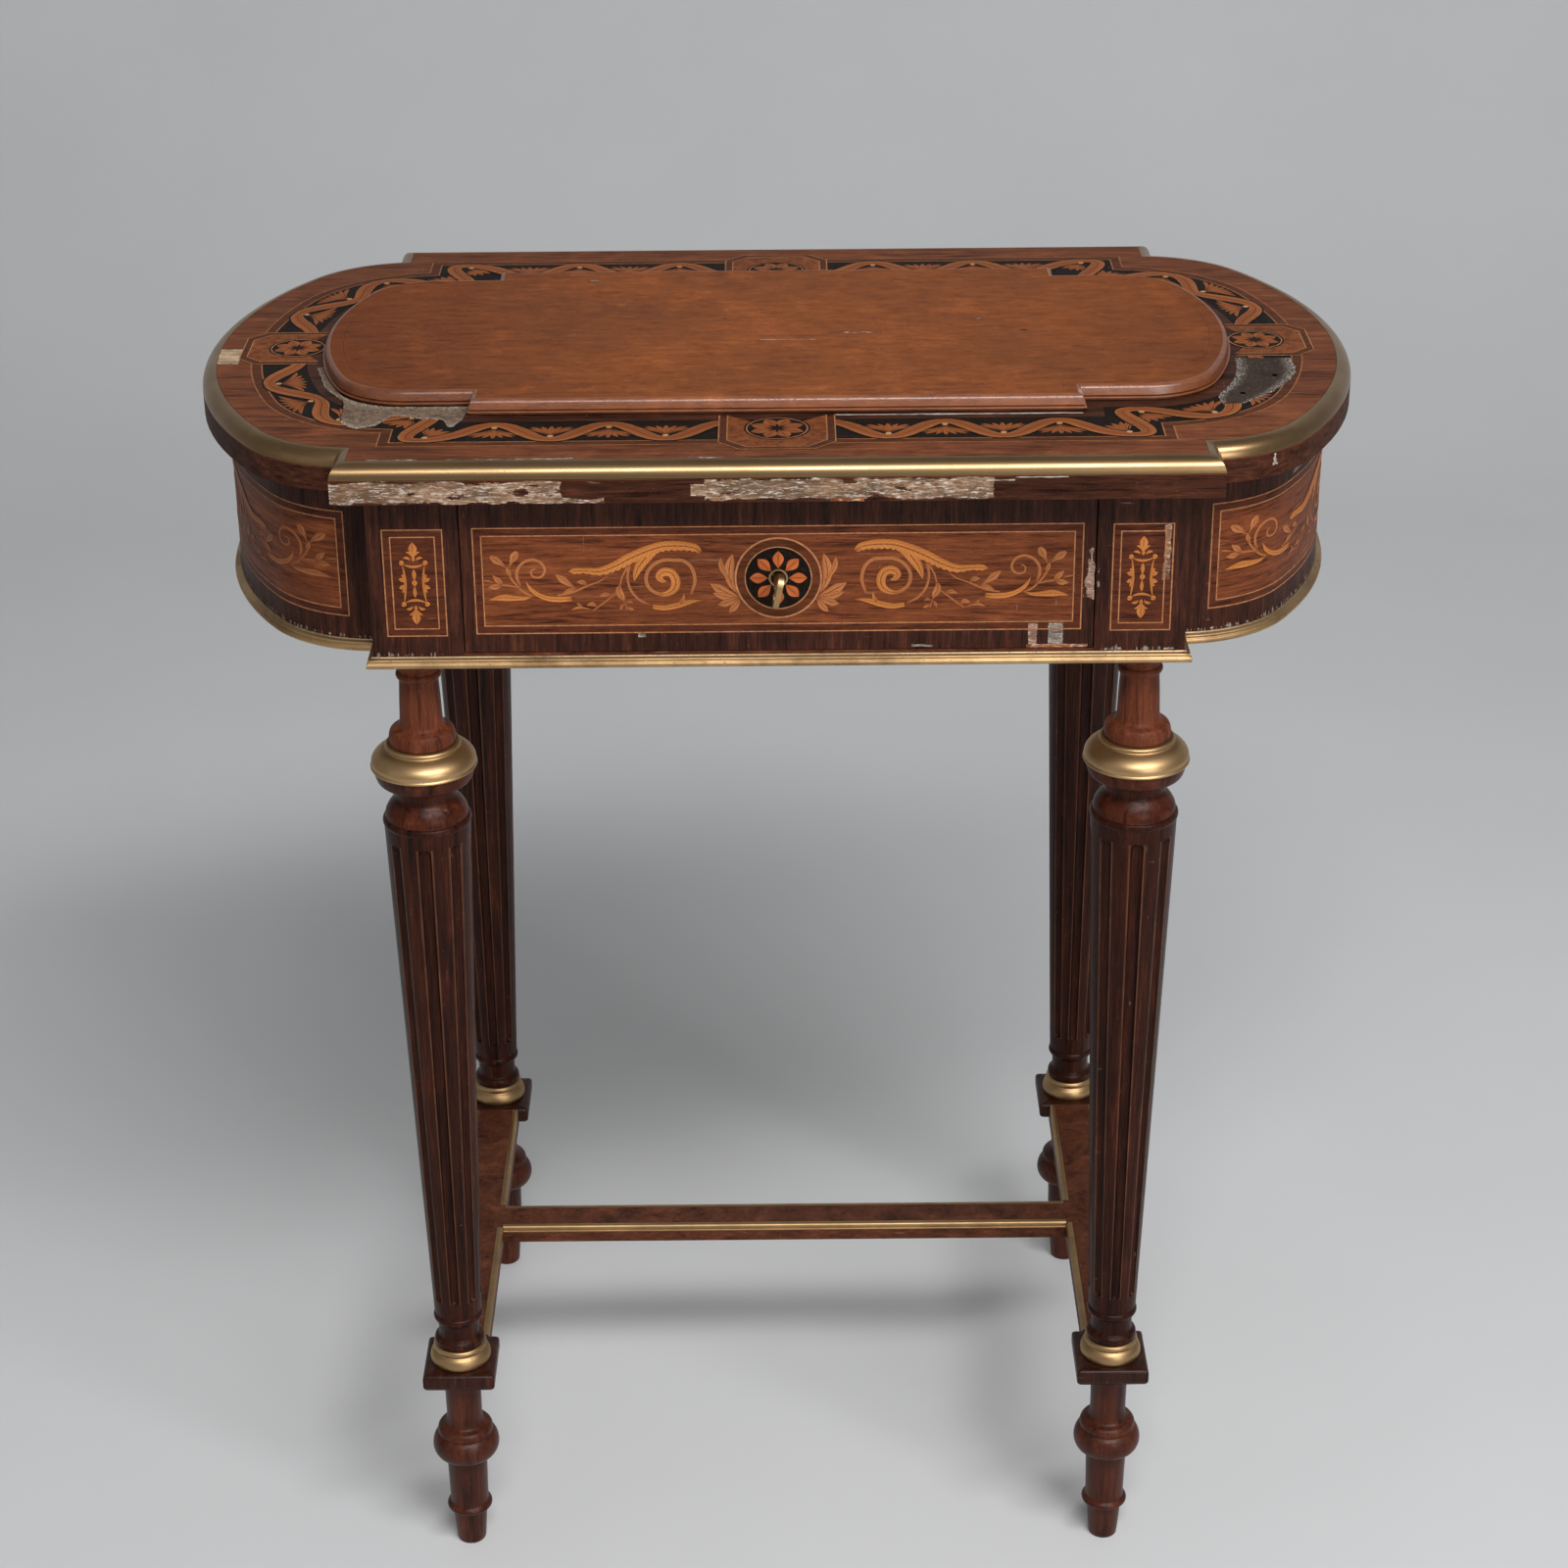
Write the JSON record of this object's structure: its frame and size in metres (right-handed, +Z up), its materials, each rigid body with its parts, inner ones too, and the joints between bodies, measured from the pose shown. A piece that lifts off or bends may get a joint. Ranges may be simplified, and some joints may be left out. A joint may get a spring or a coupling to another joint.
{
  "type": "dressing table",
  "caption": "Oblong breakfront dressing table with round ends on turned fluted legs, a locking frieze drawer and a hinged lid with a mirror over a shallow well.",
  "frame": {"origin": "On the floor under the middle of the table.", "axes": "+X to the right seen from the front, along the length; +Y to the back; +Z up."},
  "size_m": [0.662, 0.402, 0.7489],
  "materials": {
    "top_veneer": "polished rosewood veneer with marquetry",
    "belt_veneer": "polished rosewood veneer with stringing",
    "lid_wood": "polished figured veneer",
    "leg_wood": "polished dark rosewood",
    "inner_wood": "plain planed oak",
    "brass": "aged brass",
    "mirror_glass": "silvered plate glass",
    "steel": "filed steel"
  },
  "bodies": {
    "carcass": {"top_board": "top_veneer", "top_lip_front": "brass", "top_lip_back": "brass", "top_lip_left": "brass", "top_lip_right": "brass", "upper_collars": "brass", "lower_collars": "brass", "side_strips_left": "brass", "side_strips_right": "brass", "cross_strips": "brass", "hinge_leaves_top": "brass", "base_moulding_front": "brass", "base_moulding_back": "brass", "base_moulding_left": "brass", "base_moulding_right": "brass", "posts_front": "belt_veneer", "posts_back": "belt_veneer", "end_apron_left": "belt_veneer", "end_apron_right": "belt_veneer", "back_apron": "belt_veneer", "front_rail": "belt_veneer", "drawer_runner_left": "inner_wood", "drawer_runner_right": "inner_wood", "well_wall_front": "inner_wood", "well_wall_back": "inner_wood", "well_wall_left": "inner_wood", "well_wall_right": "inner_wood", "well_floor": "inner_wood", "leg_shafts_front": "leg_wood", "leg_shafts_back": "leg_wood", "leg_feet_front": "leg_wood", "leg_feet_back": "leg_wood", "side_stretcher_left": "leg_wood", "side_stretcher_right": "leg_wood", "cross_stretcher": "leg_wood"},
    "lid": {"lid_panel": "lid_wood", "lid_moulding_front": "lid_wood", "lid_moulding_back": "lid_wood", "lid_moulding_left": "lid_wood", "lid_moulding_right": "lid_wood", "mirror": "mirror_glass", "mirror_frame": "lid_wood", "hinge_leaves_lid": "brass"},
    "drawer": {"drawer_front": "belt_veneer", "drawer_side_left": "inner_wood", "drawer_side_right": "inner_wood", "drawer_back": "inner_wood", "drawer_bottom": "inner_wood", "lock_case": "steel", "keyhole_tube": "brass"},
    "key": {"key": "brass", "lock_cam": "steel"},
    "bolt": {"lock_bolt": "steel"}
  },
  "joints": [
    {"name": "lid_hinge", "type": "hinge", "parent": "carcass", "child": "lid", "pos_m": [0, 0.1223, 0.7402], "axis": [-1, 0, 0], "range_deg": [0, 100]},
    {"name": "drawer_slide", "type": "slide", "parent": "carcass", "child": "drawer", "axis": [0, -1, 0], "range_m": [0, 0.22]},
    {"name": "key_turn", "type": "hinge", "parent": "drawer", "child": "key", "pos_m": [0, -0.18, 0.668], "axis": [0, 1, 0], "range_deg": [0, 180]},
    {"name": "bolt_slide", "type": "slide", "parent": "drawer", "child": "bolt", "axis": [0, 0, 1], "range_m": [0, 0.007]}
  ],
  "couplings": [
    {"joint": "key_turn", "follows": "bolt_slide", "rad_per_m": 448.8}
  ]
}
